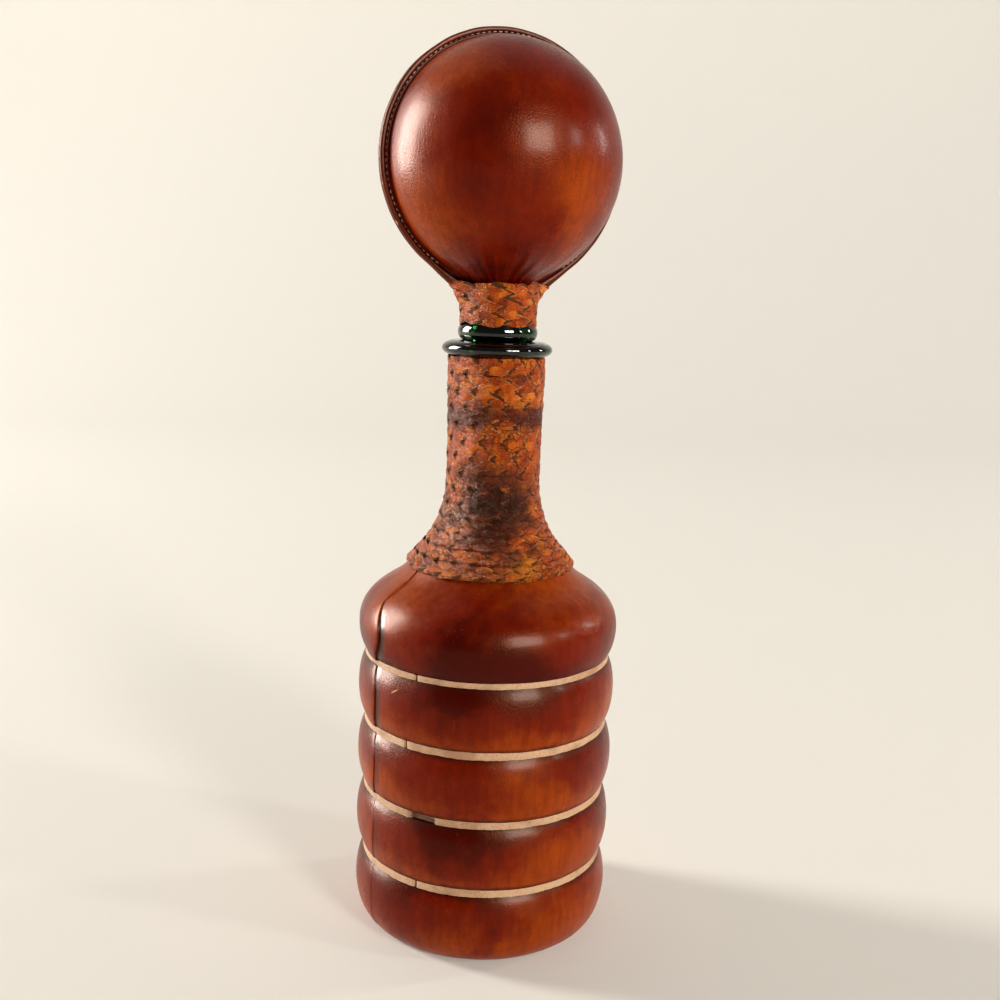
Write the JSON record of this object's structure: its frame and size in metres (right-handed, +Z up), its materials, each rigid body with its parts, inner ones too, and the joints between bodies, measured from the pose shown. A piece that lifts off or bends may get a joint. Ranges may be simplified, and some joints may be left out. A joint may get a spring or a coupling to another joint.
{
  "type": "leather-wrapped decanter",
  "caption": "Ribbed glass decanter dressed in leather covers, raw-leather strips and a plaited neck, with a leather ball stopper that lifts out and turns.",
  "frame": {"origin": "centre of the underside of the sole, on the axis of the bottle", "axes": "+Z up along the bottle's axis, -Y towards the front half of the ball, +X along the ball's seam"},
  "size_m": [0.0996, 0.0996, 0.3383],
  "materials": {
    "bottle_glass": "dark green, glossy",
    "cover_leather": "burnished red-brown, waxed",
    "raw_leather": "raw, cut",
    "lace_leather": "tan lace, waxed",
    "sole_leather": "matt",
    "core_wood": "turned, bare",
    "cork": "natural cork"
  },
  "bodies": {
    "bottle": {"glass_body": "bottle_glass", "glass_neck": "bottle_glass", "base_sole": "sole_leather", "foot_band": "cover_leather", "lower_band": "cover_leather", "middle_band": "cover_leather", "upper_band": "cover_leather", "shoulder_cover": "cover_leather", "groove_strip_1": "raw_leather", "groove_strip_2": "raw_leather", "groove_strip_3": "raw_leather", "groove_strip_4": "raw_leather", "neck_plait": "lace_leather"},
    "cork": {"stopper_cork": "cork"},
    "stopper": {"stopper_core": "core_wood", "stopper_dowel": "core_wood", "ball_cover_front": "cover_leather", "ball_cover_rear": "cover_leather", "stem_plait": "lace_leather"}
  },
  "joints": [
    {"name": "stopper_lift", "type": "slide", "parent": "bottle", "child": "cork", "axis": [0, 0, 1], "range_m": [0, 0.07]},
    {"name": "stopper_twist", "type": "hinge", "parent": "cork", "child": "stopper", "pos_m": [0, 0, 0.2335], "axis": [0, 0, 1], "continuous": true}
  ]
}
